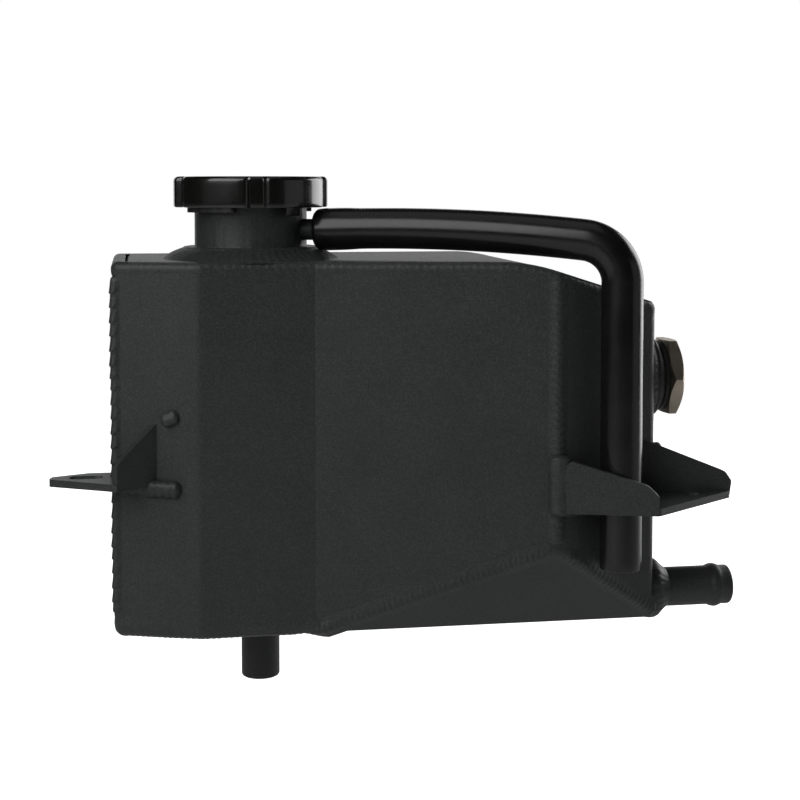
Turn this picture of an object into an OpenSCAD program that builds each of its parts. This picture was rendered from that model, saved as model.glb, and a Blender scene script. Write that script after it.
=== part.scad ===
/* [Tank] */
// Distance from the filler neck's axis to the left wall
left_x = 59; // [55:0.5:65]
// Distance from the filler neck's axis to the right wall
right_x = 168.6; // [165:0.2:172]
// Distance from the filler neck's axis to the back wall
back_y = 51; // [45:1:70]
// Height of the flat part of the top plate
tank_h = 153.9; // [150:0.1:158]
// Sheet thickness of the tank and its brackets
sheet = 3; // [2.5:0.5:3]
// Outside radius of the folds in the front panel
fold_r = 9; // [7:1:10]
// Height of the chamfered lower front corner, at its highest point
corner_h = 36.2; // [30:0.1:38]
// Distance from the neck's axis at which the top plate begins to slope
slope_x = 98; // [92:1:104]
// Angle of the sloping part of the top plate
slope_deg = 17.2; // [12:0.2:20]

/* [Filler neck] */
// Outside diameter of the neck's tube
neck_d = 48; // [47:0.5:48]
// Diameter of the neck's welded base ring
neck_base_d = 58.8; // [57:0.2:60]
// Diameter of the flange that the cap locks under
flange_d = 55.6; // [55:0.2:55.6]
// Height of the pressure seat above the tank's bottom
seat_z = 161; // [160:0.5:161]

/* [Cap] */
// Diameter across the cap's lobes
cap_d = 66; // [65:0.5:67]
// Height of the cap's cover
cap_h = 13.1; // [12.6:0.1:14]
// Number of grip lobes
lobes = 5; // [4:1:8]
// Coils in the pressure spring
spring_turns = 4; // [3:1:5]

/* [Fittings] */
// Outside diameter of the two hose tails
tail_d = 16.8; // [16:0.1:17]
// Length of the side hose tail beyond the wall
tail_l = 38.2; // [36:0.2:46]
// Length of the bottom hose tail below the tank
drain_l = 32.3; // [26:0.1:36]
// Width of the plug's hexagon across its flats
plug_af = 31.75; // [30:0.25:34]
// Thread diameter of the plug
plug_thread_d = 26.9; // [26:0.1:27]

/* [Overflow hose] */
// Outside diameter of the hose
hose_d = 17.2; // [16:0.1:17.2]
// Inside diameter of the hose
hose_bore_d = 9.6; // [9:0.1:9.6]
// Bend radius of the hose's elbow, at its middle
elbow_r = 17.5; // [15:0.5:19]
// Height of the hose's open end above the tank's bottom
hose_end_z = 27.3; // [22:0.1:40]

/* [Brackets] */
// Diameter of the right bracket's bolt hole
bolt_d = 7; // [6.4:0.1:7]
// Length of the left bracket's slot, end to end
slot_l = 14; // [12:0.5:14]

/* [Hidden] */
$fn = 64;

coat = [0.17, 0.18, 0.18];
bright = [0.62, 0.62, 0.64];
nickel = [0.55, 0.50, 0.46];
rubber = [0.05, 0.05, 0.05];
gloss = [0.03, 0.03, 0.03];
steel = [0.7, 0.7, 0.72];

// The row's origin: the right bracket's bolt hole, at the underside of its plate.
bolt_xy = [183, -49.2];
bracket_z = 51.8;
module placed() translate([-bolt_xy[0], -bolt_xy[1], -bracket_z]) children();

// ---- Tank outline in plan, counter-clockwise, measured from the neck's axis ----
left_front = [-left_x, -27.1];
fold_ab = [-24.3, -38.6];
fold_bc = [23.4, -38.6];
nose = [120.7, -61.8];
right_front = [right_x, -40.5];
right_back = [right_x, back_y];
left_back = [-left_x, back_y];
outline = [left_front, fold_ab, fold_bc, nose, right_front, right_back, left_back];
// Outside radii of the outline's corners. A minus sign marks the fold that turns inwards.
crease_r = 2;
outline_r = [0, fold_r, -crease_r, 0, 5, 0, 0];
fold_y = fold_ab[1];
corner_run = fold_y - nose[1];
corner_slope = corner_h / corner_run;
seam_step = 1;
edge_cut = 3.5;
eps = 0.01;
far = 400;

function unit(v) = v / norm(v);
function left_of(v) = [-v[1], v[0]];
function next_i(i, n) = (i + 1) % n;
function prev_i(i, n) = (i + n - 1) % n;
// Where the lines through p along u and through q along v cross.
function cross_lines(p, u, q, v) = p + u * ((v[0] * (p[1] - q[1]) - v[1] * (p[0] - q[0]))
    / (u[0] * v[1] - u[1] * v[0]));
// The outline moved inwards by t.
function inset(pts, t) = let (n = len(pts)) [for (i = [0:n - 1])
    let (a = pts[prev_i(i, n)], b = pts[i], c = pts[next_i(i, n)],
        u = unit(b - a), v = unit(c - b))
    cross_lines(b + left_of(u) * t, u, b + left_of(v) * t, v)];
// Corner b between a and c, as an arc of radius r. It is a point when r is 0.
function corner_arc(a, b, c, r) = let (
        u = unit(a - b), v = unit(c - b),
        half = acos(u * v) / 2,
        reach = r / tan(half),
        middle = b + unit(u + v) * r / sin(half),
        p = b + u * reach - middle, q = b + v * reach - middle,
        from = atan2(p[1], p[0]), sweep = (atan2(q[1], q[0]) - from + 540) % 360 - 180,
        steps = max(2, ceil(abs(sweep) / 6)))
    r <= eps ? [b] : [for (k = [0:steps])
        middle + r * [cos(from + sweep * k / steps), sin(from + sweep * k / steps)]];
function rounded(pts, radii) = let (n = len(pts)) [for (i = [0:n - 1])
    each corner_arc(pts[prev_i(i, n)], pts[i], pts[next_i(i, n)], is_list(radii) ? radii[i] : radii)];
// Fold radii after moving inwards by t: an outward fold tightens and an inward one opens.
function inset_r(t) = [for (r = outline_r) r < 0 ? -r + t : max(r - t, 0)];

// ---- The tank's envelope, as three crossing prisms ----
bend_r = 70;
bend_end = slope_x + bend_r * sin(slope_deg);
bend_drop = bend_r * (1 - cos(slope_deg));
function top_z(x) = x <= slope_x ? tank_h
    : x <= bend_end ? tank_h - bend_r + sqrt(pow(bend_r, 2) - pow(x - slope_x, 2))
    : tank_h - bend_drop - (x - bend_end) * tan(slope_deg);

module plan_prism(t) translate([0, 0, -far / 4])
    linear_extrude(far) polygon(rounded(inset(outline, t), inset_r(t)));

// Everything under the top plate's outer face lowered by t, as a profile in X and Z.
module below_top(t) rotate([90, 0, 0]) translate([0, 0, -far / 2]) linear_extrude(far)
    polygon(concat([[-far, -far], [-far, tank_h - t]],
        [for (k = [0:8]) let (a = slope_deg * k / 8)
            [slope_x + (bend_r - t) * sin(a), tank_h - bend_r + (bend_r - t) * cos(a)]],
        [[far, tank_h - bend_drop - (far - bend_end) * tan(slope_deg) - t / cos(slope_deg)],
            [far, -far]]));

// Everything over the bottom plate's outer face raised by t, as a profile in Y and Z.
module above_bottom(t) rotate([90, 0, 90]) translate([0, 0, -far / 2]) linear_extrude(far)
    let (tilt = atan(corner_slope), shift = t * tan(tilt / 2), reach = 2 * corner_run)
    polygon([[far, t], [fold_y + shift, t],
        [fold_y - reach + shift, t + reach * corner_slope], [-far, t + reach * corner_slope],
        [-far, far], [far, far]]);

// Takes the corners off the left wall's top and bottom edges, as a wedge in X and Z.
module left_wedge(t) rotate([90, 0, 0]) translate([0, 0, -far / 2]) linear_extrude(far)
    let (tip = edge_cut - left_x + t * sqrt(2) - tank_h / 2, reach = far)
    polygon([[tip, tank_h / 2], [tip + reach, tank_h / 2 - reach], [tip + reach, tank_h / 2 + reach]]);

module envelope(side, top, bottom) intersection() {
    plan_prism(side);
    below_top(top);
    above_bottom(bottom);
    left_wedge(max(side, top, bottom));
}

module walls() difference() {
    envelope(0, sheet, sheet);
    plan_prism(sheet);
}

// A tall wedge of plan area that takes one panel out of the ring of walls.
module plan_wedge(pts) translate([0, 0, -far / 4]) linear_extrude(far) polygon(pts);
inner = inset(outline, sheet);
function mitre(i) = inner[i] + unit(outline[i] - inner[i]) * 40;

module front_panel() color(coat) placed() intersection() {
    walls();
    plan_wedge([inner[0], mitre(0), [-80, -140], [140, -140], mitre(3), inner[3], [30, -10]]);
}

module side_panel() color(coat) placed() difference() {
    intersection() {
        walls();
        plan_wedge([inner[3], mitre(3), [140, -140], [260, -140], mitre(5), inner[5], [100, 0]]);
    }
    on_wall(outlet_y, outlet_z) translate([0, 0, -10]) cylinder(r = tail_bore_r, h = 20);
    on_wall(plug_y, plug_z) translate([0, 0, -10]) cylinder(r = boss_r - boss_step, h = 20);
}

module back_panel() color(coat) placed() intersection() {
    walls();
    plan_wedge([inner[5], mitre(5), [200, 140], [-120, 140], [-120, -40], mitre(0), inner[0],
        [0, 0]]);
}

neck_hole_r = 26;
module top_panel() color(coat) placed() difference() {
    envelope(seam_step, 0, sheet);
    below_top(sheet);
    cylinder(r = neck_hole_r, h = far);
}

// The bottom plate is folded up along the front to close the chamfered corner.
drain_xy = [4.2, 12];
module bottom_panel() color(coat) placed() difference() {
    envelope(seam_step, sheet, 0);
    above_bottom(sheet);
    translate([drain_xy[0], drain_xy[1], -far / 2]) cylinder(d = tail_d, h = far);
}

// One upright baffle across the tank, with three round holes and a gap at its foot and its top.
baffle_x = 66;
module baffle_plate() color(bright) placed() intersection() {
    envelope(sheet, sheet, sheet);
    difference() {
        translate([baffle_x, -far / 2, 12]) cube([2, far, 120]);
        for (z = [35, 70, 105]) translate([baffle_x - 5, 4, z]) rotate([0, 90, 0]) cylinder(r = 11, h = 12);
    }
}

// ---- Weld beads: rods along the edges, less the sheets they join ----
bead_r = 2.2;
bead_in = 1.4;

module sheets() {
    envelope(seam_step, 0, 0);
    envelope(0, sheet, sheet);
}

bead_line = inset(outline, bead_in);
bead_out = bead_r - bead_in;
bead_reach = sheet + 0.4;

// The rim where the walls meet the top plate, as a band round the outside of the joint.
module top_seam_weld() color(coat) placed() difference() {
    envelope(-bead_out, -bead_out, -bead_out);
    plan_prism(bead_reach);
    below_top(bead_reach);
    sheets();
}

module corner_rods() for (i = [0, 3, 5]) let (p = bead_line[i], foot = i == 3 ? corner_h + 8 : 5)
    translate([p[0], p[1], foot]) cylinder(r = bead_r, h = top_z(p[0]) - 6 - foot);

module corner_seam_welds() color(coat) placed() difference() {
    corner_rods();
    sheets();
}

// The same band round the bottom plate and its folded-up corner.
module bottom_seam_weld() color(coat) placed() difference() {
    envelope(-bead_out, -bead_out, -bead_out);
    plan_prism(bead_reach);
    above_bottom(bead_reach);
    sheets();
    on_wall(outlet_y, outlet_z) cylinder(r = outlet_weld_r, h = 10);
}

// ---- Filler neck and its overflow nipple ----
neck_r = neck_d / 2;
neck_base_r = neck_base_d / 2;
flange_r = flange_d / 2;
flange_z = 175.6;
flange_top = 179.3;
bore_r = 20.5;
throat_r = 15;
base_top = 159;
nipple_z = 166.3;
nipple_r = 4.5;
nipple_bore_r = 3;
hose_az = -22.4;
ear_az = -134;
ear_span = 52;
// A pie slice in plan, centred on az.
module slice(az, span, r, z, h) translate([0, 0, z]) rotate([0, 0, az - span / 2])
    rotate_extrude(angle = span) square([r, h]);

module filler_neck() color(coat) placed() difference() {
    rotate_extrude() polygon([[throat_r, tank_h - sheet], [neck_hole_r, tank_h - sheet],
        [neck_hole_r, tank_h], [neck_base_r, tank_h], [neck_base_r, base_top - 0.8],
        [neck_base_r - 0.8, base_top], [neck_r, base_top], [neck_r, flange_z], [flange_r, flange_z],
        [flange_r, flange_top], [bore_r, flange_top], [bore_r, seat_z], [throat_r, seat_z]]);
    for (side = [0, 180]) difference() {
        slice(ear_az + 90 + side, ear_span + 10, 40, flange_z - 1, 6);
        cylinder(r = neck_r, h = far);
    }
    rotate([0, 90, hose_az]) translate([-nipple_z, 0, 0]) cylinder(r = nipple_r, h = 40);
}

weld_flare = 5.6;
module neck_weld() color(coat) placed() rotate_extrude()
    polygon([[neck_base_r, tank_h], [neck_base_r + weld_flare, tank_h],
        [neck_base_r + weld_flare, tank_h + 0.6], [neck_base_r + 0.4, base_top - 1.2],
        [neck_base_r, base_top - 1.2]]);

nipple_end = 46;
module overflow_nipple() color(coat) placed() rotate([0, 90, hose_az]) translate([-nipple_z, 0, 0])
    rotate_extrude() polygon([[nipple_bore_r, 21.2], [nipple_r, 21.2], [nipple_r, 42],
        [hose_bore_d / 2, 43], [hose_bore_d / 2, 44], [nipple_bore_r + 0.8, nipple_end],
        [nipple_bore_r, nipple_end]]);

// ---- Hose tails ----
// A beaded tail along +Z from 0, with its root bead's place and its end rounded.
tail_r = tail_d / 2;
tail_bore_r = tail_r - 1.9;
tail_lip = 1.2;
module tail(l, root, bead_at) rotate_extrude()
    polygon(concat([[tail_bore_r, -root], [tail_r, -root]],
        bead_at > 0 ? [for (k = [0:10]) [tail_r + 0.95 * sin(k * 18), bead_at - 3 + 0.6 * k]] : [],
        [for (k = [0:4]) [tail_r - tail_lip * (1 - cos(k * 22.5)), l - tail_lip * (1 - sin(k * 22.5))]],
        [[tail_bore_r, l]]));

drain_collar_r = tail_r + 0.8;
drain_collar_l = 5;
module drain_tail() color(coat) placed() translate([drain_xy[0], drain_xy[1], 0]) rotate([180, 0, 0]) {
    tail(drain_l, 6, 0);
    rotate_extrude() translate([tail_bore_r + 0.5, 0]) square([drain_collar_r - tail_bore_r - 0.5, drain_collar_l]);
}

module drain_weld() color(coat) placed() translate([drain_xy[0], drain_xy[1], 0]) rotate([180, 0, 0])
    rotate_extrude() polygon([[drain_collar_r, 0], [drain_collar_r + 3.2, 0], [drain_collar_r, 4]]);

outlet_y = -27;
outlet_z = 9.8;
outlet_weld_r = 12.5;
module on_wall(y, z) translate([right_x, y, z]) rotate([0, 90, 0]) children();
module outlet_tail() color(coat) placed() on_wall(outlet_y, outlet_z) tail(tail_l, 0, 31);
module outlet_weld() color(coat) placed() on_wall(outlet_y, outlet_z)
    rotate_extrude() polygon([[tail_r, 0], [outlet_weld_r, 0], [outlet_weld_r, 4.6], [tail_r, 9]]);

// ---- Port boss, plug and seal ----
plug_y = -18;
plug_z = 101.7;
boss_r = 17.5;
boss_top = 7.2;
boss_root = 10;
boss_step = 1;
thread_gap = 0.05;
module port_boss() color(coat) placed() on_wall(plug_y, plug_z) rotate_extrude()
    polygon([[plug_thread_d / 2 + thread_gap, -boss_root], [boss_r - boss_step, -boss_root],
        [boss_r - boss_step, 0], [boss_r, 0], [boss_r, boss_top - 2.4],
        [boss_r - 2.7, boss_top], [plug_thread_d / 2 + thread_gap, boss_top]]);

module boss_weld() color(coat) placed() on_wall(plug_y, plug_z) rotate_extrude()
    polygon([[boss_r, 0], [boss_r + 3, 0], [boss_r, 3]]);

seal_t = 2;
hex_z = boss_top + seal_t + 0.2;
hex_h = 6;
module port_plug() color(nickel) placed() on_wall(plug_y, plug_z) {
    translate([0, 0, -4]) cylinder(d = plug_thread_d, h = hex_z + 4);
    intersection() {
        translate([0, 0, hex_z]) rotate([0, 0, 30]) cylinder(d = plug_af / cos(30), h = hex_h, $fn = 6);
        translate([0, 0, hex_z]) rotate_extrude() polygon([[0, 0], [plug_af / 2 - 0.4, 0],
            [plug_af / 2 + 2.4, 1.4], [plug_af / 2 + 2.4, hex_h - 1.6], [plug_af / 2 - 0.6, hex_h],
            [0, hex_h]]);
    }
}

module plug_seal() color(rubber) placed() on_wall(plug_y, plug_z) translate([0, 0, boss_top + 0.1])
    rotate_extrude() translate([plug_thread_d / 2 + 0.1, 0]) square([1.6, seal_t]);

// ---- Brackets, folded from sheet ----
left_plate_z = 62.6;
left_tab = [[-35, -28], [-40.1, -32.1], [-57.4, -46.2], [-60.1, -43.7], [-84.9, -29.1], [-83.5, -23.9],
    [-69.2, -17.3], [-56, -17.3], [-50, -25]];
left_tab_r = [0, 0, 1, 1, 2.4, 1.5, 3, 0, 0];
slot_xy = [-69.8, -27];
rib_foot = [-57.4, -46.2];
rib_root = [-38.6, -30.9];

// An upright flange of sheet from p to q in plan, inside the line, with a side profile in
// distance along the line and height.
module flange_along(p, q, profile) let (d = q - p)
    translate([p[0], p[1], 0]) rotate([0, 0, atan2(d[1], d[0])]) rotate([90, 0, 0])
    translate([0, 0, -sheet]) linear_extrude(sheet) polygon(profile);

module left_bracket() color(coat) placed() difference() {
    union() {
        translate([0, 0, left_plate_z]) linear_extrude(sheet) polygon(rounded(left_tab, left_tab_r));
        flange_along(rib_foot, rib_root, rounded([[0.4, left_plate_z], [24, left_plate_z], [24, 89],
            [22.2, 89], [0.4, 73.4]], [0, 0, 0, 1, 2.5]));
    }
    plan_prism(0);
    corner_rods();
    for (side = [-1, 1]) translate([slot_xy[0] + side * (slot_l - bolt_d) / 2, slot_xy[1], 0])
        cylinder(d = bolt_d, h = 100);
    translate([slot_xy[0] - (slot_l - bolt_d) / 2, slot_xy[1] - bolt_d / 2, 0])
        cube([slot_l - bolt_d, bolt_d, 100]);
}

front_root = [121.7, -65.5];
front_tip = [158.4, -76.8];
rear_tip = [201.2, -44.2];
rear_root = [160, -41.5];
hose_foot = 159.27 * [cos(hose_az), sin(hose_az)];
hose_gap = 0.4;
module right_bracket() color(coat) placed() difference() {
    union() {
        translate([0, 0, bracket_z]) linear_extrude(sheet)
            polygon(rounded([front_root, front_tip, rear_tip, [rear_tip[0] - 1, -41.5], rear_root,
                [118, -55]], [0, 3, 2.5, 1, 0, 0]));
        flange_along(front_root, front_tip, rounded([[0, bracket_z], [38.4, bracket_z], [38.4, 59.6],
            [34, 64], [3, 73.4], [0, 71]], [0, 2, 2, 7, 2, 1]));
        translate([0, -41.5, 0]) rotate([90, 0, 0]) linear_extrude(sheet)
            polygon(rounded([[160, bracket_z], [200.4, bracket_z], [201.4, 59], [198.6, 63.2], [160, 78.8]],
                [0, 1.5, 2, 5, 0]));
    }
    plan_prism(0);
    corner_rods();
    translate([bolt_xy[0], bolt_xy[1], 0]) cylinder(d = bolt_d, h = 100);
    translate([hose_foot[0], hose_foot[1], 0]) cylinder(d = hose_d + 2 * hose_gap, h = 100);
}

// A triangular fillet that hangs from height z along the wall from p to q, w wide and h deep.
module fillet(p, q, z, w, h) let (d = q - p)
    translate([p[0], p[1], z]) rotate([0, 0, atan2(d[1], d[0])]) rotate([90, 0, 90])
    linear_extrude(norm(d)) polygon([[0, 0], [0, -h], [-w, 0]]);

function between(a, b, mm) = a + unit(b - a) * mm;
module bracket_welds() color(coat) placed() {
    fillet(between(left_front, fold_ab, 3), between(left_front, fold_ab, 19), left_plate_z, 3.2, 5.5);
    fillet(between(nose, right_front, 4), between(nose, right_front, 14), bracket_z, 2.6, 2.6);
    fillet(between(nose, right_front, 37), between(nose, right_front, 48), bracket_z, 2.6, 2.6);
}

// ---- Overflow hose: a long flat arc, an elbow and a straight drop, in one upright plane ----
arc_r = 760;
arc_top = [64, 167];
arc_from = -2.53;
arc_to = 6.01;
arc_end = arc_top + [arc_r * sin(arc_to), -arc_r * (1 - cos(arc_to))];
elbow_c = arc_end - elbow_r * [sin(arc_to), cos(arc_to)];
// The hose's path swept by a disc of diameter d, running on past both ends by extra.
module hose_sweep(d, extra) rotate([90, 0, hose_az]) {
    translate([arc_top[0], arc_top[1] - arc_r]) rotate([0, 0, 90 - arc_to])
        rotate_extrude(angle = arc_to - arc_from + atan(extra / arc_r), $fn = 240)
        translate([arc_r, 0]) circle(d = d, $fn = 32);
    translate([elbow_c[0], elbow_c[1]]) rotate_extrude(angle = 90 - arc_to, $fn = 80)
        translate([elbow_r, 0]) circle(d = d, $fn = 32);
    translate([elbow_c[0] + elbow_r, elbow_c[1], 0]) rotate([90, 0, 0])
        cylinder(d = d, h = elbow_c[1] - hose_end_z + extra, $fn = 32);
}
module overflow_hose() color(rubber) placed() difference() {
    hose_sweep(hose_d, 0);
    hose_sweep(hose_bore_d, 2);
}

// ---- Cap: cover, bayonet retainer, gasket, disc, stem and valves ----
cap_r = cap_d / 2;
cap_z = 175.8;
cap_top = cap_z + cap_h;
cover_t = 2.5;
shell_r = 29.2;
shell_t = 1;
shell_top = cap_top - cover_t;
shell_disc_t = 1.2;
lip_z = 173.7;
lip_t = 1.2;
lip_r = 24.6;
tab_z = 172.4;
tab_az = -56;
tab_span = 16;
lobe_az = -125.3;
recess_r = 6;
recess_depth = 2.4;
gasket_z = flange_top + 0.1;
gasket_t = 2;
disc_z = gasket_z + gasket_t;
disc_t = 0.6;
stem_r = 4;
stem_end = 173;
seal_z = seat_z + 0.1;
seal_disc_t = 2;
plate_z = seal_z + seal_disc_t;
plate_t = 1.2;
plate_r = 19.3;
sleeve_top = 178;
slide_gap = 0.05;
vacuum_r = 9;
vacuum_stem_r = 1.5;

module cap_cover() color(gloss) placed() difference() {
    rotate_extrude() polygon(concat([[0, shell_top], [shell_r, shell_top], [shell_r, cap_z], [cap_r - 0.4, cap_z],
        [cap_r, cap_z + 0.6]],
        [for (k = [0:6]) [cap_r - 2 + 2 * cos(k * 15), cap_top - 2 + 2 * sin(k * 15)]],
        [[cap_r - 8, cap_top], [cap_r - 9, cap_top - 0.8], [0, cap_top - 0.8]]));
    for (i = [0:lobes - 1]) rotate([0, 0, lobe_az + (i + 0.5) * 360 / lobes])
        translate([cap_r + recess_r - recess_depth, 0, cap_z - 1]) cylinder(r = recess_r, h = cap_h + 2);
}

// Pressed steel shell: a disc and a skirt, with two ears turned in under the neck's flange
// and two short tabs between them.
module cap_retainer() color(steel) placed() difference() {
    rotate_extrude() polygon([[stem_r, shell_top], [stem_r, shell_top - shell_disc_t],
        [shell_r - shell_t, shell_top - shell_disc_t], [shell_r - shell_t, lip_z + lip_t],
        [lip_r, lip_z + lip_t], [lip_r, lip_z], [shell_r - shell_t, lip_z],
        [shell_r - shell_t, tab_z], [shell_r, tab_z], [shell_r, shell_top]]);
    for (side = [0, 180]) {
        slice(ear_az + side, ear_span + 4, 40, tab_z - 1, lip_z - tab_z + 1);
        slice(tab_az + side, tab_span + 4, shell_r - shell_t, lip_z - 1, lip_t + 2);
        gap_cut(ear_az + side + ear_span / 2, tab_az + side - tab_span / 2);
        gap_cut(tab_az + side + tab_span / 2, ear_az + side + 180 - ear_span / 2);
    }
}
// Clears the skirt between two azimuths, below the cover's rim.
module gap_cut(from, to) slice((from + to) / 2, to - from, 41, tab_z - 2, cap_z + 2.4 - tab_z);

module ring(r_in, r_out, z, h) translate([0, 0, z]) rotate_extrude() translate([r_in, 0]) square([r_out - r_in, h]);

module cap_gasket() color(rubber) placed() ring(21.5, 27.4, gasket_z, gasket_t);

module cap_disc() color(steel) placed() ring(stem_r, 27.8, disc_z, disc_t);

module cap_stem() color(steel) placed() rotate_extrude() polygon([[0, stem_end], [stem_r, stem_end],
    [stem_r, disc_z + disc_t], [7, disc_z + disc_t], [7, shell_top - shell_disc_t],
    [stem_r, shell_top - shell_disc_t], [stem_r, shell_top], [0, shell_top]]);

// A coil of round wire from z to z + h, closed at both ends by its caps.
module coil(mean_r, wire_r, z, h, turns, ring_n, wire_n) {
    n = turns * ring_n;
    pitch = (h - 2 * wire_r) / turns;
    points = [for (i = [0:n], j = [0:wire_n - 1]) let (a = 360 * i / ring_n, b = 360 * j / wire_n,
        r = mean_r + wire_r * cos(b))
        [r * cos(a), r * sin(a), z + wire_r + pitch * i / ring_n + wire_r * sin(b)]];
    sides = [for (i = [0:n - 1], j = [0:wire_n - 1]) let (k = (j + 1) % wire_n)
        [i * wire_n + j, i * wire_n + k, (i + 1) * wire_n + k, (i + 1) * wire_n + j]];
    polyhedron(points, concat(sides, [[for (j = [wire_n - 1:-1:0]) j]],
        [[for (j = [0:wire_n - 1]) n * wire_n + j]]), convexity = 10);
}

module pressure_spring() color(steel) placed()
    coil(12.5, 1.1, plate_z + plate_t, disc_z - plate_z - plate_t, spring_turns, 24, 10);

vent_r = 1.2;
module valve_plate() color(steel) placed() difference() {
    rotate_extrude() polygon([[vacuum_stem_r + slide_gap, plate_z], [plate_r, plate_z], [plate_r, plate_z + plate_t],
        [stem_r + 2, plate_z + plate_t], [stem_r + 2, sleeve_top], [stem_r + slide_gap, sleeve_top],
        [stem_r + slide_gap, plate_z + plate_t], [vacuum_stem_r + slide_gap, plate_z + plate_t]]);
    for (a = [0:90:270]) rotate([0, 0, a]) translate([7.8, 0, plate_z - 1]) cylinder(r = vent_r, h = 4);
}

module pressure_seal() color(rubber) placed() difference() {
    ring(6.2, 18.6, seal_z, seal_disc_t);
    for (a = [0:90:270]) rotate([0, 0, a]) translate([7.8, 0, seal_z - 1]) cylinder(r = vent_r, h = 4);
}

vacuum_head_z = 168.2;
module vacuum_valve() color(bright) placed() rotate_extrude()
    polygon([[0, seal_z - 1.7], [vacuum_r, seal_z - 1.7], [vacuum_r, seal_z - 0.2], [vacuum_stem_r, seal_z - 0.2],
        [vacuum_stem_r, vacuum_head_z], [3.3, vacuum_head_z], [3.3, vacuum_head_z + 0.8], [0, vacuum_head_z + 0.8]]);

module vacuum_spring() color(steel) placed()
    coil(2.6, 0.3, plate_z + plate_t, vacuum_head_z - plate_z - plate_t, 3, 16, 8);

front_panel();
side_panel();
back_panel();
top_panel();
bottom_panel();
baffle_plate();
top_seam_weld();
corner_seam_welds();
bottom_seam_weld();
filler_neck();
neck_weld();
overflow_nipple();
drain_tail();
drain_weld();
outlet_tail();
outlet_weld();
port_boss();
boss_weld();
left_bracket();
right_bracket();
bracket_welds();
overflow_hose();
port_plug();
plug_seal();
cap_cover();
cap_retainer();
cap_gasket();
cap_disc();
cap_stem();
pressure_spring();
valve_plate();
pressure_seal();
vacuum_valve();
vacuum_spring();
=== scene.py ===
"""Welded sheet-metal reservoir with a pressure cap: the looks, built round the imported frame."""
import math

import bmesh
import bpy
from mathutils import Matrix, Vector, noise


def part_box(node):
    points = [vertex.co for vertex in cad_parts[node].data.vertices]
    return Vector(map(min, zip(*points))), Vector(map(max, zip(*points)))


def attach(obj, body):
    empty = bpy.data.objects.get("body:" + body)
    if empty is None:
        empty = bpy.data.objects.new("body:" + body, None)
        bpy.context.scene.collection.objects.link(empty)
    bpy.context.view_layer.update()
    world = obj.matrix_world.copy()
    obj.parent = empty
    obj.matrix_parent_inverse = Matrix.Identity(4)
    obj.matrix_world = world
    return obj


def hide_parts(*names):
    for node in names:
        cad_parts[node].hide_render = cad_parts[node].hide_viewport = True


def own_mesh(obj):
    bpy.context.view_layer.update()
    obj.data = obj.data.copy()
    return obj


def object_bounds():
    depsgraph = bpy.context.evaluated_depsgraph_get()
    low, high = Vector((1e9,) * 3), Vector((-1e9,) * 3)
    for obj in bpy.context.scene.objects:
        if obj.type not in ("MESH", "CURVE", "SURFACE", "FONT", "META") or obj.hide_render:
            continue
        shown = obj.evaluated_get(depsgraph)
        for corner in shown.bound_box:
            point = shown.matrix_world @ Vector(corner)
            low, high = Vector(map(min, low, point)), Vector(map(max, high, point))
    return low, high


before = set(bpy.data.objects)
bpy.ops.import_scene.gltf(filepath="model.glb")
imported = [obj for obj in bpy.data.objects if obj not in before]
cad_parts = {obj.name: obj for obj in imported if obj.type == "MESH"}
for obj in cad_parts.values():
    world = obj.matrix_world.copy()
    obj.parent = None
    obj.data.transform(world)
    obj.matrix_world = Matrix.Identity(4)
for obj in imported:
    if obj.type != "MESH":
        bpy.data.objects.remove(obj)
cad_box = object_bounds()
MM = 0.001

# ---- Places, in millimetres from the filler neck's axis and the tank's underside ----
neck_lo, neck_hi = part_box("filler_neck")
ORIGIN = Vector(((neck_lo.x + neck_hi.x) / 2, (neck_lo.y + neck_hi.y) / 2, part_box("bottom_panel")[0].z))


def at(x, y, z):
    """A point in the row frame, in metres, from millimetres in the tank's own frame."""
    return ORIGIN + Vector((x, y, z)) * MM


def mm_box(node):
    """A CAD node's box in the tank's own frame, in millimetres."""
    return tuple((corner - ORIGIN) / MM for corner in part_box(node))


def box_middle(node):
    """The middle of a CAD node's box in the tank's own frame, in millimetres."""
    lo, hi = mm_box(node)
    return (lo + hi) / 2


LEFT_X = mm_box("back_panel")[0].x
RIGHT_X, BACK_Y = mm_box("back_panel")[1].x, mm_box("back_panel")[1].y
NOSE_Y = mm_box("front_panel")[0].y
TANK_H = mm_box("top_panel")[1].z
CORNER_H = 36.2  # height of the folded-up corner
SLOPE_X, BEND_R, SLOPE = 98.0, 70.0, math.radians(17.2)  # where the top bends, how tightly, and how far down
# Corners of the tank seen from above. An edge has the name of the corner that it starts at.
OUTLINE = [(LEFT_X, -27.1), (-24.3, -38.6), (23.4, -38.6), (120.7, NOSE_Y), (RIGHT_X, -40.5),
           (RIGHT_X, BACK_Y), (LEFT_X, BACK_Y)]
L_, AB, BC, CD, DE, BR, BL = range(7)


def top_z(x):
    """Height of the top plate's outer face."""
    end = SLOPE_X + BEND_R * math.sin(SLOPE)
    if x <= SLOPE_X:
        return TANK_H
    if x <= end:
        return TANK_H - BEND_R + math.sqrt(BEND_R ** 2 - (x - SLOPE_X) ** 2)
    return TANK_H - BEND_R * (1 - math.cos(SLOPE)) - (x - end) * math.tan(SLOPE)


def outward(a, b):
    """Unit normal that points out of the outline's edge from a to b."""
    d = (Vector(b) - Vector(a)).normalized()
    return Vector((d.y, -d.x, 0))


# ---- Materials ----
def new_material(name):
    """A node material, with its nodes, links and shader."""
    m = bpy.data.materials.new(name)
    m.use_nodes = True
    nodes, links = m.node_tree.nodes, m.node_tree.links
    return m, nodes, links, nodes["Principled BSDF"]


def node(nodes, kind, **values):
    """A new shader node with its inputs or settings filled in."""
    n = nodes.new(kind)
    for key, value in values.items():
        if key in n.inputs:
            n.inputs[key].default_value = value
        else:
            setattr(n, key, value)
    return n


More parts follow.
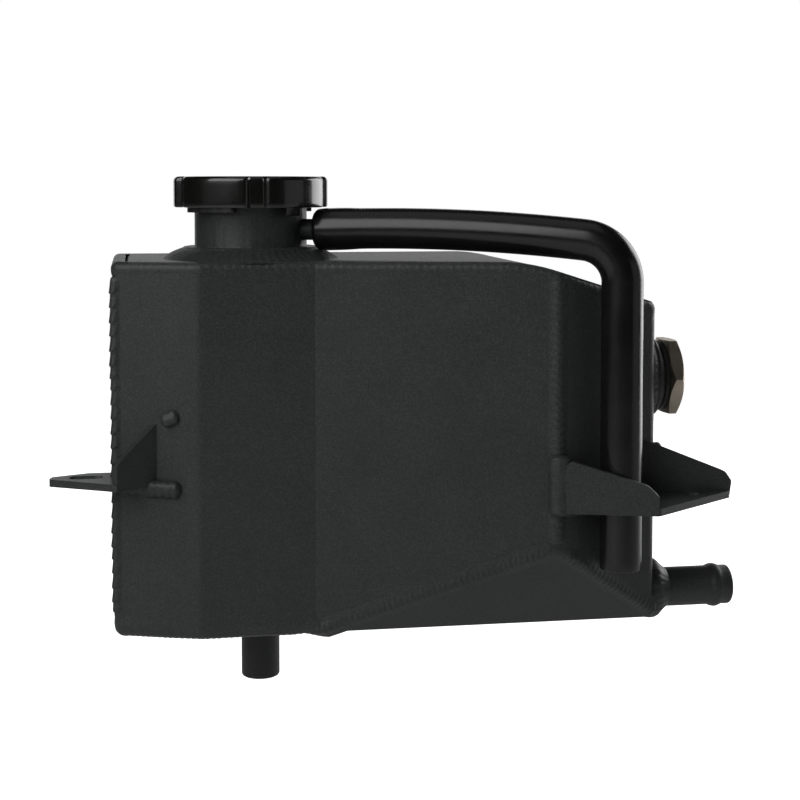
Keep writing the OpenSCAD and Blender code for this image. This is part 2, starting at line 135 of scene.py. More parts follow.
def ramp(nodes, stops):
    """A colour ramp from (position, grey or colour) stops."""
    n = nodes.new("ShaderNodeValToRGB")
    while len(n.color_ramp.elements) < len(stops):
        n.color_ramp.elements.new(0.5)
    for e, (pos, value) in zip(n.color_ramp.elements, stops):
        e.position = pos
        e.color = (value, value, value, 1) if isinstance(value, float) else (*value, 1)
    return n


def bump(nodes, links, height, shader, strength, distance):
    """Fine relief on a shader from a height."""
    n = node(nodes, "ShaderNodeBump", Strength=strength, Distance=distance)
    links.new(height, n.inputs["Height"])
    links.new(n.outputs["Normal"], shader.inputs["Normal"])


def powder_coat(name, shade_scale=1.0):
    """Dark grey powder coat: an even colour with fine pale flecks, orange peel and a satin sheen. Its last
    argument scales the colour down, which paints shade into it.
    """
    m, nodes, links, shader = new_material(name)
    place = nodes.new("ShaderNodeTexCoord").outputs["Object"]
    fleck = node(nodes, "ShaderNodeTexNoise", Scale=1300.0, Detail=2.0, Roughness=0.6)
    cloud = node(nodes, "ShaderNodeTexNoise", Scale=45.0, Detail=3.0)
    peel = node(nodes, "ShaderNodeTexNoise", Scale=900.0, Detail=3.0, Roughness=0.6)
    for n in (fleck, cloud, peel):
        links.new(place, n.inputs["Vector"])
    shades = [(0.25, (0.0215, 0.0240, 0.0232)), (0.5, (0.0325, 0.0355, 0.0345)),
              (0.75, (0.0520, 0.0560, 0.0545))]
    spots = ramp(nodes, [(pos, tuple(c * shade_scale for c in shade)) for pos, shade in shades])
    links.new(fleck.outputs["Fac"], spots.inputs["Fac"])
    mottle = ramp(nodes, [(0.3, 0.92), (0.7, 1.08)])
    links.new(cloud.outputs["Fac"], mottle.inputs["Fac"])
    mix = node(nodes, "ShaderNodeMix", data_type="RGBA", blend_type="MULTIPLY")
    mix.inputs["Factor"].default_value = 1.0
    links.new(spots.outputs["Color"], mix.inputs[6])
    links.new(mottle.outputs["Color"], mix.inputs[7])
    links.new(mix.outputs[2], shader.inputs["Base Color"])
    sheen = ramp(nodes, [(0.35, 0.40), (0.65, 0.56)])
    links.new(fleck.outputs["Fac"], sheen.inputs["Fac"])
    links.new(sheen.outputs["Color"], shader.inputs["Roughness"])
    shader.inputs["Specular IOR Level"].default_value = 0.4
    bump(nodes, links, peel.outputs["Fac"], shader, 0.5, 0.00025)
    return m


def moulded(name, color, rough, peel_scale=300.0, peel=0.1, coat=0.0):
    """Smooth moulded rubber or plastic with a slight waviness and uneven gloss."""
    m, nodes, links, shader = new_material(name)
    place = nodes.new("ShaderNodeTexCoord").outputs["Object"]
    wave = node(nodes, "ShaderNodeTexNoise", Scale=peel_scale, Detail=3.0)
    wear = node(nodes, "ShaderNodeTexNoise", Scale=60.0, Detail=5.0, Roughness=0.65)
    links.new(place, wave.inputs["Vector"])
    links.new(place, wear.inputs["Vector"])
    tint = ramp(nodes, [(0.35, tuple(c * 0.85 for c in color)), (0.65, tuple(c * 1.2 for c in color))])
    links.new(wear.outputs["Fac"], tint.inputs["Fac"])
    links.new(tint.outputs["Color"], shader.inputs["Base Color"])
    gloss = ramp(nodes, [(0.35, rough * 0.85), (0.65, rough * 1.2)])
    links.new(wear.outputs["Fac"], gloss.inputs["Fac"])
    links.new(gloss.outputs["Color"], shader.inputs["Roughness"])
    shader.inputs["Coat Weight"].default_value = coat
    shader.inputs["Coat Roughness"].default_value = 0.08
    bump(nodes, links, wave.outputs["Fac"], shader, peel, 0.0002)
    return m


def metal(name, color, rough, grain_scale=(400.0, 400.0, 4000.0), grain=0.15):
    """Bare or plated metal with fine machining marks."""
    m, nodes, links, shader = new_material(name)
    place = nodes.new("ShaderNodeTexCoord").outputs["Object"]
    stretch = node(nodes, "ShaderNodeMapping")
    stretch.inputs["Scale"].default_value = grain_scale
    links.new(place, stretch.inputs["Vector"])
    lines = node(nodes, "ShaderNodeTexNoise", Scale=1.0, Detail=3.0)
    links.new(stretch.outputs["Vector"], lines.inputs["Vector"])
    cloud = node(nodes, "ShaderNodeTexNoise", Scale=120.0, Detail=4.0)
    links.new(place, cloud.inputs["Vector"])
    tint = ramp(nodes, [(0.3, tuple(c * 0.88 for c in color)), (0.7, tuple(min(c * 1.1, 1) for c in color))])
    links.new(cloud.outputs["Fac"], tint.inputs["Fac"])
    links.new(tint.outputs["Color"], shader.inputs["Base Color"])
    gloss = ramp(nodes, [(0.3, rough * 0.8), (0.7, rough * 1.25)])
    links.new(lines.outputs["Fac"], gloss.inputs["Fac"])
    links.new(gloss.outputs["Color"], shader.inputs["Roughness"])
    shader.inputs["Metallic"].default_value = 1.0
    bump(nodes, links, lines.outputs["Fac"], shader, grain, 0.00005)
    return m


COAT = powder_coat("powder_coat")
# A darker copy of the powder coat: painted shade for the drain tail.
COAT_SHADED = powder_coat("powder_coat_painted_shade", 0.4)
HOSE = moulded("hose_rubber", (0.0075, 0.0075, 0.0075), 0.23, 250.0, 0.06)
SEAL = moulded("seal_rubber", (0.012, 0.012, 0.012), 0.55)
COVER = moulded("gloss_cover", (0.006, 0.006, 0.0055), 0.22, 180.0, 0.03, coat=0.6)
PLUG = metal("plated_plug", (0.50, 0.44, 0.36), 0.42, (3500.0, 300.0, 300.0), 0.1)
BLACK_STEEL = moulded("black_steel", (0.008, 0.008, 0.0075), 0.28, 400.0, 0.05, coat=0.4)
STEEL = metal("spring_steel", (0.55, 0.55, 0.56), 0.28)
SHEET = metal("bare_aluminium", (0.62, 0.62, 0.64), 0.35)
BRASS = metal("brass_valve", (0.62, 0.45, 0.2), 0.3)


# ---- Mesh building ----
def grid(bm, rows, closed=True, loop=False):
    """Joins rows of points with quads. Each row is one ring, or one line when closed is False.
    loop joins the last row to the first."""
    made = [[bm.verts.new(p) for p in row] for row in rows]
    n = len(rows[0])
    for a, b in zip(made, made[1:] + made[:1] if loop else made[1:]):
        for j in range(n if closed else n - 1):
            k = (j + 1) % n
            bm.faces.new((a[j], a[k], b[k], b[j]))
    return made


def cap_ring(bm, ring, flip=False):
    """Closes a ring with one face."""
    bm.faces.new(list(reversed(ring)) if flip else ring)


def finish_mesh(name, bm, material, body, nodes=(), smooth_deg=40):
    """Turns the bmesh into a piece that rides on body and stands for the CAD nodes."""
    bmesh.ops.recalc_face_normals(bm, faces=bm.faces)
    for f in bm.faces:
        f.smooth = True
    for e in bm.edges:
        if len(e.link_faces) == 2 and e.calc_face_angle(0) > math.radians(smooth_deg):
            e.smooth = False
    mesh = bpy.data.meshes.new(name)
    bm.to_mesh(mesh)
    bm.free()
    piece = bpy.data.objects.new(name, mesh)
    bpy.context.scene.collection.objects.link(piece)
    mesh.materials.append(material)
    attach(piece, body)
    if nodes:
        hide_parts(*nodes)
    return piece


# ---- Weld beads ----
BEAD_STEP = 0.45  # millimetres between the rings of a bead
BEAD_ROUND = 1.6  # length of a bead's rounded end
SEAM_FADE = 2.4  # length over which an open seam rises from the surface
SEAM_SKIRT = 1.2  # how far a seam's edges run on under the two faces


def resample(points, step):
    """Points every step along a polyline, in millimetres."""
    out, left = [points[0].copy()], step
    for a, b in zip(points, points[1:]):
        length = (b - a).length
        done = 0.0
        while length - done >= left:
            done += left
            out.append(a.lerp(b, done / length))
            left = step
        left -= length - done
    out.append(points[-1].copy())
    return out


def bead(bm, points, normal, wide, high, pitch=2.3, ripple=0.16, wander=0.25, seed=0.0):
    """A TIG bead along a polyline in millimetres: stacked crescents, wide across and high above the joint."""
    path = resample(points, BEAD_STEP)
    n, around = len(path), 16
    rows = []
    for i, p in enumerate(path):
        t = (path[min(i + 1, n - 1)] - path[max(i - 1, 0)]).normalized()
        out = (normal - t * normal.dot(t)).normalized()
        side = t.cross(out)
        s = i * BEAD_STEP
        drift = noise.noise(Vector((s * 0.11, seed, 0.3)))
        swell = 1 + wander * 0.35 * drift
        taper = min(1, math.sqrt(max(min(i, n - 1 - i) * BEAD_STEP / BEAD_ROUND, 0.0001)))
        row = []
        for j in range(around):
            a = 2 * math.pi * j / around
            lag = 0.55 * (1 - max(math.cos(a), 0)) * wide / pitch
            phase = (s / pitch + 0.18 * drift - lag) % 1.0
            crest = 1 + ripple * (1 - phase ** 1.6 - 0.4)
            r_out = high * swell * crest * taper
            r_side = wide * swell * (1 + 0.3 * (crest - 1)) * taper
            row.append(at(*(p + out * math.cos(a) * r_out + side * math.sin(a) * r_side
                            + side * drift * wander)))
        rows.append(row)
    made = grid(bm, rows)
    cap_ring(bm, made[0], True)
    cap_ring(bm, made[-1])


def corner_path(corners, closed=False):
    """Samples (point, normal 1, normal 2) along edges that meet at corners. Each corner is (point, cut,
    normals of the edge that starts there), and cut is how much the corner is rounded."""
    n = len(corners)
    out = []
    for i in range(n if closed else n - 1):
        p, cut_p, normals = corners[i]
        q, cut_q, following = corners[(i + 1) % n]
        way = (q - p).normalized()
        length = (q - p).length - cut_p - cut_q
        count = max(2, round(length / BEAD_STEP))
        out += [(p + way * (cut_p + length * k / count), *normals) for k in range(count + 1)]
        if cut_q and (closed or i + 2 < n):
            after = corners[(i + 2) % n][0]
            a, b = q - way * cut_q, q + (after - q).normalized() * cut_q
            turns = max(4, round(2 * cut_q / BEAD_STEP))
            for k in range(1, turns):
                t = k / turns
                point = a * (1 - t) ** 2 + q * 2 * t * (1 - t) + b * t * t
                out.append((point, *(m.lerp(o, t).normalized() for m, o in zip(normals, following))))
    return out


def seam(bm, path, reach, crown, pitch, ripple, seed, closed=False, extra=None, hang=None, wide=None):
    """A weld that rounds the edge between two faces and blends into both, with a rippled crown.
    At a point, extra scales the crown, wide scales the reach, and hang is how far the weld stands out past
    the second face."""
    n, across = len(path), 14
    rows, s, base_reach = [], 0.0, reach
    for i, (corner, n1, n2) in enumerate(path):
        if i:
            s += (corner - path[i - 1][0]).length
        reach = base_reach * (wide(corner) if wide else 1)
        over = hang(corner) if hang else 0.0
        corner = corner + n2 * over
        lean = n1.dot(n2)
        e1, e2 = (n1 * lean - n2).normalized(), (n2 * lean - n1).normalized()
        half = (math.pi - math.acos(max(min(lean, 1), -1))) / 2
        rho = reach * math.tan(half)
        middle = corner + e1 * reach - n1 * rho
        drift = noise.noise(Vector((s * 0.09, seed, 0.7)))
        high = crown * (1 + 0.25 * drift) * (extra(corner) if extra else 1)
        near_end = 1.0 if closed else min(1.0, min(i, n - 1 - i) * BEAD_STEP / SEAM_FADE)
        high *= math.sin(near_end * math.pi / 2)
        sunk = -0.5 * (1 - near_end)
        row = [corner + e1 * (reach + SEAM_SKIRT) - n1 * (0.25 - sunk)]
        for k in range(across + 1):
            u = k / across
            way = (n1 * math.sin((1 - u) * 1.0) + n2 * math.sin(u * 1.0)).normalized()
            swell = math.sin(math.pi * u) ** 2
            phase = (s / pitch + 0.25 * drift - 0.55 * (1 - math.sin(math.pi * u))) % 1.0
            wave = 1 - 1.6 * phase + 0.6 * phase ** 4
            lift = high * swell * (1 + ripple * wave) + 0.03 + sunk
            row.append(middle + way * (rho + lift))
        row.append(corner + e2 * (reach + SEAM_SKIRT + over) - n2 * (0.25 + over - sunk))
        row.append(corner - n1 * 2.0 - n2 * (2.0 + over))
        rows.append([at(*p) for p in row])
    made = grid(bm, rows, loop=closed)
    if not closed:
        cap_ring(bm, made[0], True)
        cap_ring(bm, made[-1])


WELD_CUTS = [3.25, 1.45, 0.3, 1.6, 3.25, 4.5, 4.5]  # how much the welds round each corner of OUTLINE


def top_normal(x):
    """Outward normal of the top plate."""
    a = min(max((x - SLOPE_X) / BEND_R, 0), math.sin(SLOPE))
    return Vector((a, 0, math.sqrt(1 - a * a)))


def rim_weld():
    """The weld round the rim, where the walls meet the top plate."""
    up = Vector((0, 0, 1))
    corners = [(Vector((*OUTLINE[i], 0)), WELD_CUTS[i], (outward(OUTLINE[i], OUTLINE[(i + 1) % 7]), up))
               for i in range(7)]
    path = [(Vector((p.x, p.y, top_z(p.x))), n1, top_normal(p.x))
            for p, n1, _ in corner_path(corners, closed=True)]
    bm = bmesh.new()
    seam(bm, path, 4.4, 0.6, 3.4, 0.22, 3.1, closed=True,
         wide=lambda p: 1 + 0.3 * min(max((-70 - p.x) / 6, 0), 1))
    return finish_mesh("rim_weld", bm, COAT, "tank", ["top_seam_weld"], 60)


def corner_weld():
    """The upright welds at the corners of the outline."""
    bm = bmesh.new()
    for i, foot, below, reach, crown, pitch, ripple in (
            (L_, 7.5, 5.5, 3.6, 1.3, 5.8, 0.5), (CD, CORNER_H + 1.5, 2.2, 4.2, 0.9, 3.1, 0.5),
            (BR, 3.0, 2.2, 3.6, 1.3, 2.5, 0.3), (BL, 7.5, 5.5, 3.6, 1.3, 2.5, 0.3)):
        x, y = OUTLINE[i]
        normals = (outward(OUTLINE[i - 1], OUTLINE[i]), outward(OUTLINE[i], OUTLINE[(i + 1) % 7]))
        ends = [(Vector((x, y, foot)), 0, normals), (Vector((x, y, top_z(x) - below)), 0, normals)]
        seam(bm, corner_path(ends), reach, crown, pitch, ripple, 20 + i)
    return finish_mesh("corner_weld", bm, COAT, "tank", ["corner_seam_welds"], 60)


def bottom_weld():
    """The weld round the bottom plate and its folded-up corner."""
    down = Vector((0, 0, -1))
    fold_y, run = OUTLINE[BC][1], OUTLINE[BC][1] - NOSE_Y
    facet = Vector((0, -CORNER_H, -run)).normalized()

    def side(i):
        return outward(OUTLINE[i], OUTLINE[(i + 1) % 7])

    def low(i, z=0.0):
        return Vector((*OUTLINE[i], z))

    right_foot = CORNER_H * (fold_y - OUTLINE[DE][1]) / run
    corners = [(low(L_), WELD_CUTS[L_], (side(L_), down)),
               (low(AB), WELD_CUTS[AB], (side(AB), down)),
               (low(BC), 4.0, (side(BC), facet)),
               (low(CD, CORNER_H), 6.0, (side(CD), facet)),
               (low(DE, right_foot), 0.9, (side(DE), facet)),
               (Vector((RIGHT_X, fold_y, 0)), 0.9, (side(DE), down)),
               (low(BR), WELD_CUTS[BR], (side(BR), down)),
               (low(BL), WELD_CUTS[BL], (side(BL), down))]

    def swollen(p):
        """A little thicker where the fold meets the front, and on the diagonal to the right foot."""
        blob = math.exp(-((p.x - 27) / 5) ** 2) * (1 if p.y < fold_y + 3 else 0)
        diagonal = 1 if OUTLINE[CD][0] + 4 < p.x < RIGHT_X and p.y < fold_y else 0
        return 1 + 0.5 * blob + 0.6 * diagonal

    def left_part(p):
        """1 to the left of the folded-up corner, where the weld is wider and hangs below the bottom plate."""
        return min(max((26 - p.x) / 12, 0), 1)

    bm = bmesh.new()
    seam(bm, corner_path(corners, closed=True), 4.4, 0.75, 2.4, 0.35, 41.0, closed=True, extra=swollen,
         hang=lambda p: 1.9 * left_part(p), wide=lambda p: 1 + 0.66 * left_part(p))
    return finish_mesh("bottom_weld", bm, COAT, "tank", ["bottom_seam_weld"], 60)


def ring_weld(name, centre, axis, profile, pitch, ripple, replaced):
    """A weld round a tube: a profile of (radius, distance along the axis) with ripples round it."""
    bm = bmesh.new()
    axis = Vector(axis)
    u = axis.orthogonal().normalized()
    v = axis.cross(u)
    around = 240
    biggest = max(r for r, _ in profile)
    count = round(2 * math.pi * biggest * 0.85 / pitch)
    rows = []
    for k, (r, h) in enumerate(profile):
        share = math.sin(math.pi * k / (len(profile) - 1))
        row = []
        for j in range(around):
            a = 2 * math.pi * j / around
            lag = 0.9 * abs(k / (len(profile) - 1) - 0.5)
            phase = (a / (2 * math.pi) * count - lag) % 1.0
            lift = ripple * share * (1 - phase ** 1.6 - 0.4)
            drift = 0.5 * share * noise.noise(Vector((math.cos(a) * 3, math.sin(a) * 3, biggest)))
            spread = r + lift * 0.7 + drift
            row.append(at(*(Vector(centre) + u * math.cos(a) * spread + v * math.sin(a) * spread
                            + axis * (h + lift * 0.7 + drift * 0.4))))
        rows.append(row)
    grid(bm, rows, loop=True)
    return finish_mesh(name, bm, COAT, "tank", [replaced], 60)


def curve_profile(points, steps=10):
    """A smooth profile through quadratic control points (start, middle, end)."""
    (r0, h0), (r1, h1), (r2, h2) = points
    out = []
    for k in range(steps + 1):
        t = k / steps
        out.append(((1 - t) ** 2 * r0 + 2 * t * (1 - t) * r1 + t * t * r2,
                    (1 - t) ** 2 * h0 + 2 * t * (1 - t) * h1 + t * t * h2))
    return out


def bracket_weld():
    """The welds that hold the two brackets."""
    up, down = Vector((0, 0, 1)), Vector((0, 0, -1))
    left_plate, right_plate = 62.6, 51.4
    out_a = outward(OUTLINE[L_], OUTLINE[AB])
    a0, a1 = Vector((*OUTLINE[L_], 0)), Vector((*OUTLINE[AB], 0))
    out_d = outward(OUTLINE[CD], OUTLINE[DE])
    d0, d1 = Vector((*OUTLINE[CD], 0)), Vector((*OUTLINE[DE], 0))
    # (start, end, direction it faces, width, height, pitch, ripple)
    beads = [(a0.lerp(a1, 0.05) + up * (left_plate - 1), a0.lerp(a1, 0.8) + up * (left_plate - 2),
              out_a + down, 4.2, 3.0, 3.0, 0.25),
             (Vector((-39.5, -34.2, 89.0)), Vector((-32.5, -36.0, 92.0)),
              out_a + up * 0.4, 3.0, 1.8, 9.0, 0.06),
             (Vector((120.8, -62.6, 50.0)), Vector((120.6, -62.4, 75.5)),
              Vector((-0.3, -1, 0)), 4.4, 3.0, 6.0, 0.08),
             (Vector((168.9, -41.2, 52.5)), Vector((168.9, -41.2, 76.0)),
              Vector((0.5, -1, 0)), 2.4, 2.0, 3.0, 0.2)]
    beads += [(d0.lerp(d1, start) + up * right_plate, d0.lerp(d1, end) + up * right_plate,
               out_d + down, 2.6, 2.0, 2.6, 0.2) for start, end in ((0.04, 0.3), (0.7, 0.98))]
    bm = bmesh.new()
    for i, (start, end, faces, wide, high, pitch, ripple) in enumerate(beads):
        bead(bm, [start, end], faces, wide, high, pitch, ripple, seed=70 + i)
    return finish_mesh("bracket_weld_beads", bm, COAT, "tank", ["bracket_welds"], 60)


# ---- Cap cover ----
def cap_cover():
    """The cap's glossy cover: a shallow cup with five recesses in its rim and a dished top."""
    lo, hi = mm_box("cap_cover")
    z0, z1, outer = lo.z, hi.z, (hi.x - lo.x) / 2
    lobes, recess, half_deg, soft_deg = 5, 2.4, 7.4, 4.4
    first = math.radians(-125.3)

    def edge_share(a):
        """0 in a recess and 1 on a lobe, with round shoulders."""
        off = abs(((a - first + math.pi / lobes) % (2 * math.pi / lobes)) - math.pi / lobes)
        to_recess = math.degrees(math.pi / lobes - off)
        t = min(max((to_recess - half_deg + soft_deg * 0.5) / soft_deg, 0), 1)
        return math.sin(t * math.pi / 2) ** 0.8 if t else 0.0

    under, wall, round_r = 29.3, z1 - 2.5, 2.0
    # (radius, height, share of the recess's depth), from the middle of the underside to the middle of the top
    profile = [(0.0, wall, 0.0), (under - 0.6, wall, 0.0), (under, wall - 0.6, 0.0), (under, z0 + 0.3, 0.0),
               (under + 0.3, z0, 0.1), (outer - 0.7, z0, 1.0), (outer - 0.2, z0 + 0.2, 1.0),
               (outer, z0 + 0.8, 1.0)]
    profile += [(outer, z0 + 0.8 + (z1 - z0 - 0.8 - round_r) * k / 6, 1.0) for k in range(1, 7)]
    profile += [(outer - round_r + round_r * math.cos(a), z1 - round_r + round_r * math.sin(a), 1.0)
                for a in (k * math.pi / 16 for k in range(1, 9))]
    profile += [(outer - 4.5, z1 - 0.02, 0.6), (outer - 7.5, z1 - 0.05, 0.0), (outer - 8.2, z1 - 0.15, 0.0),
                (outer - 8.9, z1 - 0.75, 0.0), (outer - 9.8, z1 - 0.95, 0.0), (9.0, z1 - 0.85, 0.0),
                (0.0, z1 - 0.8, 0.0)]
    bm = bmesh.new()
    around = 600
    rows = []
    for r, z, lobed in profile[1:-1]:
        row = []
        for j in range(around):
            a = 2 * math.pi * j / around
            cut = recess * (1 - edge_share(a)) * lobed
            row.append(at(math.cos(a) * (r - cut), math.sin(a) * (r - cut), z))
        rows.append(row)
    made = grid(bm, rows)
    for ring, (r, z, _) in ((made[0], profile[0]), (made[-1], profile[-1])):
        centre = bm.verts.new(at(0, 0, z))
        for j in range(around):
            bm.faces.new((ring[j], ring[(j + 1) % around], centre))
    return finish_mesh("cap_cover_lobed", bm, COVER, "cap", ["cap_cover"], 35)


# ---- Overflow hose ----
HOSE_AZ = math.radians(-22.4)  # direction of the hose, seen from above
HOSE_R, HOSE_BORE = 8.6, 4.8  # radii outside and inside
ARC_R, ARC_X, ARC_Z, ARC_TO = 760.0, 64.0, 167.0, math.radians(6.01)  # the slight arch over the top plate
ELBOW_R, HOSE_START, HOSE_END_Z = 17.5, 28.8, 27.3
LIP = 3.3  # rounding of the hose's upper end


def hose_path():
    """(distance from the neck's axis, height) along the hose's middle."""
    points = []
    end_x = ARC_X + ARC_R * math.sin(ARC_TO)
    end_z = ARC_Z - ARC_R * (1 - math.cos(ARC_TO))
    for k in range(41):
        r = HOSE_START + (end_x - HOSE_START) * k / 40
        points.append((r, ARC_Z - ARC_R + math.sqrt(ARC_R ** 2 - (r - ARC_X) ** 2)))
    cx, cz = end_x - ELBOW_R * math.sin(ARC_TO), end_z - ELBOW_R * math.cos(ARC_TO)
    turn = math.pi / 2 - ARC_TO
    for k in range(1, 25):
        a = math.pi / 2 - ARC_TO - turn * k / 24
        points.append((cx + ELBOW_R * math.cos(a), cz + ELBOW_R * math.sin(a)))
    for k in range(1, 31):
        points.append((cx + ELBOW_R, cz + (HOSE_END_Z - cz) * k / 30))
    return points


def overflow_hose():
    """The moulded hose, open at both ends for a stretch and closed out of sight inside."""
    bm = bmesh.new()
    points = [Vector((r * math.cos(HOSE_AZ), r * math.sin(HOSE_AZ), z)) for r, z in hose_path()]
    side = Vector((-math.sin(HOSE_AZ), math.cos(HOSE_AZ), 0))
    around = 48
    n = len(points)
    tangents = [(points[min(i + 1, n - 1)] - points[max(i - 1, 0)]).normalized() for i in range(n)]
    total = [0.0]
    for a, b in zip(points, points[1:]):
        total.append(total[-1] + (b - a).length)

    def ring(i, radius, shift=0.0):
        up = side.cross(tangents[i])
        mid = points[i] + tangents[i] * shift
        return [at(*(mid + (side * math.cos(a) + up * math.sin(a)) * radius))
                for a in (2 * math.pi * j / around for j in range(around))]

    def swell(s):
        """The hose is stretched over the nipple for its first stretch."""
        return 0.4 / (1 + math.exp((s - 17) / 1.6))

    rows = [ring(0, HOSE_BORE + 0.1, 14.0), ring(0, HOSE_BORE + 0.1, 1.2)]
    rows += [ring(0, HOSE_R + 0.4 - LIP * (1 - math.sin(a)), LIP - LIP * math.cos(a))
             for a in (math.pi / 2 * k / 6 for k in range(6))]
    rows += [ring(i, HOSE_R + swell(total[i])) for i in range(2, n - 1)]
    rows += [ring(n - 1, HOSE_R, -0.5), ring(n - 1, HOSE_R - 0.15, -0.15), ring(n - 1, HOSE_R - 0.5, 0.0),
             ring(n - 1, HOSE_BORE + 0.4, 0.0), ring(n - 1, HOSE_BORE, -0.4), ring(n - 1, HOSE_BORE, -40.0)]
    made = grid(bm, rows)
    cap_ring(bm, made[0], True)
    cap_ring(bm, made[-1])
    return finish_mesh("overflow_hose_moulded", bm, HOSE, "tank", ["overflow_hose"], 50)


# ---- CAD nodes that stay: soft edges and materials ----
def soften(names, width, material):
    """Gives CAD nodes their material, and rounds their sharp edges by width, in millimetres."""
    for name in names:
        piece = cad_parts[name]
        piece.data.materials.clear()
        piece.data.materials.append(material)
        weld = piece.modifiers.new("weld", "WELD")
        weld.merge_threshold = 0.00002
        if width:
            bevel = piece.modifiers.new("bevel", "BEVEL")
            bevel.width = width * MM
            bevel.segments = 3
            bevel.limit_method = "ANGLE"
            bevel.angle_limit = math.radians(32)
            bevel.use_clamp_overlap = True
            bevel.harden_normals = True


soften(["front_panel", "side_panel", "back_panel", "top_panel", "bottom_panel"], 0.0, COAT)
soften(["left_bracket", "right_bracket"], 0.7, COAT)
soften(["filler_neck", "outlet_tail", "port_boss"], 0.5, COAT)
# The drain tail gets the darker copy of the coat, which paints in its shade.
soften(["drain_tail"], 0.5, COAT_SHADED)
soften(["overflow_nipple"], 0.3, COAT)
soften(["baffle_plate"], 0.0, SHEET)
soften(["port_plug"], 0.3, PLUG)
soften(["plug_seal", "cap_gasket", "pressure_seal"], 0.15, SEAL)
soften(["cap_retainer"], 0.3, BLACK_STEEL)
soften(["cap_disc", "cap_stem", "valve_plate"], 0.2, STEEL)
soften(["vacuum_valve"], 0.1, BRASS)

rim_weld()
corner_weld()
bottom_weld()
ring_weld("neck_weld_bead", (0, 0, TANK_H), (0, 0, 1),
          [(27.6, -1.0)] + curve_profile([(38.4, -0.6), (34.0, 2.3), (27.6, 5.2)], 12), 3.2, 0.55, "neck_weld")
outlet, boss, drain = (box_middle(name) for name in ("outlet_weld", "boss_weld", "drain_weld"))
ring_weld("outlet_weld_bead", (RIGHT_X, outlet.y, outlet.z), (1, 0, 0),
          [(7.9, -1.0), (12.6, -0.8), (12.9, 1.5), (12.7, 3.4), (12.2, 4.6), (11.2, 5.6), (9.6, 7.4),
           (8.2, 9.4)], 2.6, 0.3, "outlet_weld")
ring_weld("boss_weld_bead", (RIGHT_X, boss.y, boss.z), (1, 0, 0),
          [(17.0, -0.8)] + curve_profile([(20.4, -0.5), (19.0, 2.4), (17.2, 3.4)]), 2.6, 0.5, "boss_weld")
ring_weld("drain_weld_bead", (drain.x, drain.y, 0), (0, 0, -1),
          [(8.8, -0.8)] + curve_profile([(12.6, -0.5), (11.4, 2.6), (9.0, 4.2)]), 2.4, 0.4, "drain_weld")
cap_cover()
overflow_hose()
bracket_weld()


# ---- The cap's springs ----
def valve_spring(node, body, turns, wire_r):
    """A coil of round wire in the CAD spring's box, which rides on body."""
    lo, hi = mm_box(node)
    mean_r = (hi.x - lo.x) / 2 - wire_r
    rise = hi.z - lo.z - 2 * wire_r
    bm = bmesh.new()
    count, around = turns * 48, 14
    rows = []
    for i in range(count + 1):
        a = 2 * math.pi * turns * i / count
        radial = Vector((math.cos(a), math.sin(a), 0))
        middle = radial * mean_r + Vector((0, 0, lo.z + wire_r + rise * i / count))
        rows.append([at(*(middle + (radial * math.cos(b) + Vector((0, 0, math.sin(b)))) * wire_r))
                     for b in (2 * math.pi * j / around for j in range(around))])
    made = grid(bm, rows)
    cap_ring(bm, made[0], True)
    cap_ring(bm, made[-1])
    coil = finish_mesh(node + "_coil", bm, STEEL, body, [node])
    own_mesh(coil)


valve_spring("pressure_spring", "cap", 4, 1.1)
valve_spring("vacuum_spring", "pressure_valve", 3, 0.3)


# ---- Stage, light and camera ----
YAW = 9.49  # degrees that the camera turns to the right of the tank's +Y
TILT = 3.22  # degrees that it looks down
MIDDLE = (cad_box[0] + cad_box[1]) / 2


def from_camera(azimuth, elevation):
    """A direction from the object, azimuth degrees to the right of the camera and elevation degrees up."""
    az, el, yaw = math.radians(azimuth), math.radians(elevation), math.radians(YAW)
    near = Vector((-math.sin(yaw), -math.cos(yaw), 0))
    right = Vector((math.cos(yaw), -math.sin(yaw), 0))
    return (near * math.cos(az) + right * math.sin(az)) * math.cos(el) + Vector((0, 0, math.sin(el)))


def softbox(name, azimuth, elevation, distance, size, power):
    """A soft light that faces the object and isn't seen directly."""
    data = bpy.data.lights.new(name, "AREA")
    data.shape = "RECTANGLE"
    data.size, data.size_y = size
    data.energy = power
    light = bpy.data.objects.new(name, data)
    way = from_camera(azimuth, elevation)
    light.location = MIDDLE + way * distance
    light.rotation_euler = way.to_track_quat("Z", "Y").to_euler()
    light.visible_camera = False
    bpy.context.scene.collection.objects.link(light)


def lights():
    """A main light from the upper left, weak fill, and strong light from behind that rims the edges."""
    softbox("main", -38, 33, 1.2, (1.0, 1.0), 8.4)
    softbox("left", -48, -2, 1.3, (1.0, 0.8), 0.2)
    softbox("right", 72, 4, 1.3, (0.8, 0.9), 0.6)
    softbox("top", 0, 88, 1.2, (0.9, 0.9), 0.8)
    softbox("back", 180, 8, 1.5, (2.2, 1.2), 8.2)
    softbox("back_right", 125, 12, 1.4, (0.8, 1.1), 9.5)


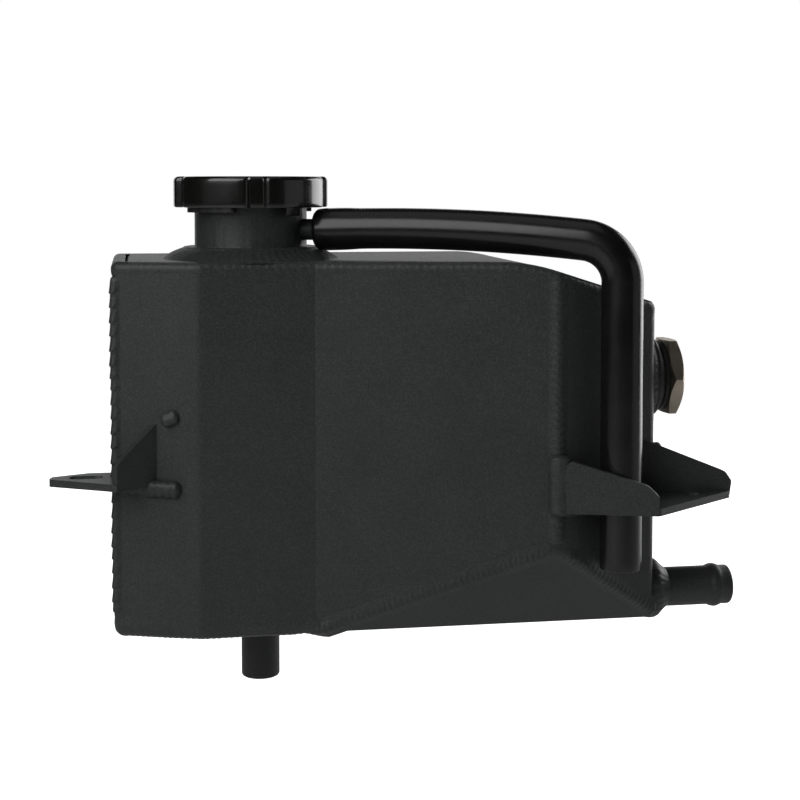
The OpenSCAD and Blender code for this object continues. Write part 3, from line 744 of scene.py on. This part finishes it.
def studio_world():
    """A dim room whose backdrop is white to the camera."""
    world = bpy.data.worlds.new("studio")
    world.use_nodes = True
    nodes, links = world.node_tree.nodes, world.node_tree.links
    room = nodes["Background"]
    room.inputs["Color"].default_value = (1, 1, 1, 1)
    room.inputs["Strength"].default_value = 0.01
    white = nodes.new("ShaderNodeBackground")
    white.inputs["Color"].default_value = (1, 1, 1, 1)
    white.inputs["Strength"].default_value = 1.0
    mix = nodes.new("ShaderNodeMixShader")
    links.new(nodes.new("ShaderNodeLightPath").outputs["Is Camera Ray"], mix.inputs[0])
    links.new(room.outputs[0], mix.inputs[1])
    links.new(white.outputs[0], mix.inputs[2])
    links.new(mix.outputs[0], nodes["World Output"].inputs["Surface"])
    bpy.context.scene.world = world


def stage():
    """A pale round floor, well below the part, which hangs by its brackets. It is white to the camera."""
    bm = bmesh.new()
    floor_z = cad_box[0].z - 120 * MM
    around, reach = 96, 4.0  # reach is in metres
    ring = [bm.verts.new((MIDDLE.x + reach * math.cos(a), MIDDLE.y + reach * math.sin(a), floor_z))
            for a in (2 * math.pi * k / around for k in range(around))]
    bm.faces.new(ring)
    mesh = bpy.data.meshes.new("floor")
    bm.to_mesh(mesh)
    bm.free()
    floor = bpy.data.objects.new("floor", mesh)
    bpy.context.scene.collection.objects.link(floor)
    m, nodes, links, shader = new_material("floor_white")
    shader.inputs["Base Color"].default_value = (0.8, 0.8, 0.8, 1)
    shader.inputs["Roughness"].default_value = 0.9
    shader.inputs["Specular IOR Level"].default_value = 0.0
    shader.inputs["Emission Color"].default_value = (1, 1, 1, 1)
    links.new(nodes.new("ShaderNodeLightPath").outputs["Is Camera Ray"], shader.inputs["Emission Strength"])
    mesh.materials.append(m)


def camera():
    """A camera in front of the tank and to the left, which looks down a little through a shifted lens."""
    data = bpy.data.cameras.new("camera")
    data.sensor_width = 36.0
    data.lens = 70.88
    data.shift_x = -0.0016
    data.shift_y = -0.1617
    cam = bpy.data.objects.new("camera", data)
    cam.location = at(-47.9, -679.4, 186.5)
    cam.rotation_euler = (math.radians(90 - TILT), 0, math.radians(-YAW))
    bpy.context.scene.collection.objects.link(cam)
    bpy.context.scene.camera = cam


stage()
lights()
studio_world()
camera()
bpy.context.scene.view_settings.view_transform = "Standard"
